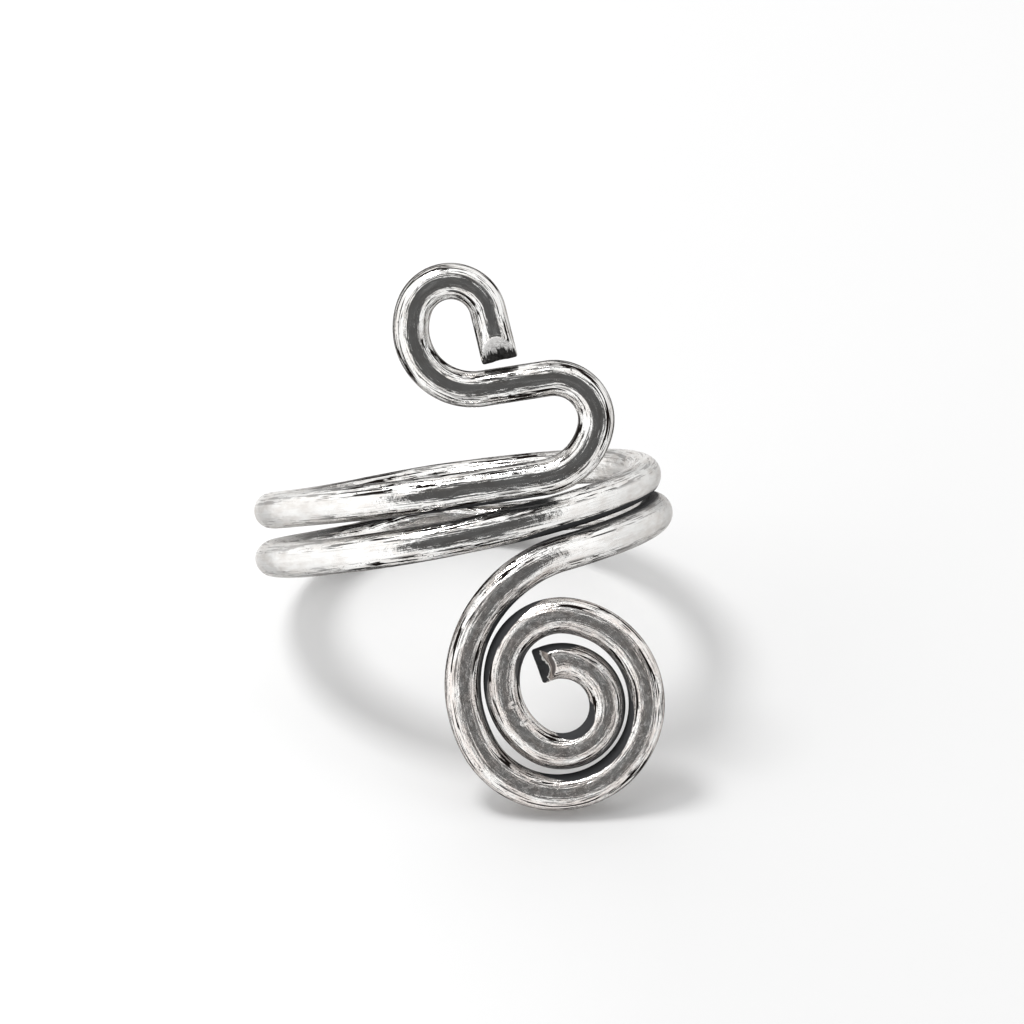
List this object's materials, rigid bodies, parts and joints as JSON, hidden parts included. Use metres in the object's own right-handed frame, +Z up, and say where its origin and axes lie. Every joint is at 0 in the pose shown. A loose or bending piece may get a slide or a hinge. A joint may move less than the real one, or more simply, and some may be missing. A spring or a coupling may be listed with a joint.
{
  "type": "snake wrap ring",
  "caption": "Adjustable finger ring bent from round silver wire: a hook for the snake's head above, turns round the finger, and a flat coiled tail below in front.",
  "frame": {"origin": "under the middle of the ring's bounding box, on the surface that it rests on", "axes": "+Z up with the ring at rest as modelled, -Y the front with the coil and the hook's face, +X to the right seen from the front"},
  "size_m": [0.022, 0.0266, 0.0241],
  "materials": {
    "silver": "bright polished silver with fine lengthwise scratches and small pits"
  },
  "bodies": {
    "root": {"ring_wire": "silver"}
  },
  "joints": []
}
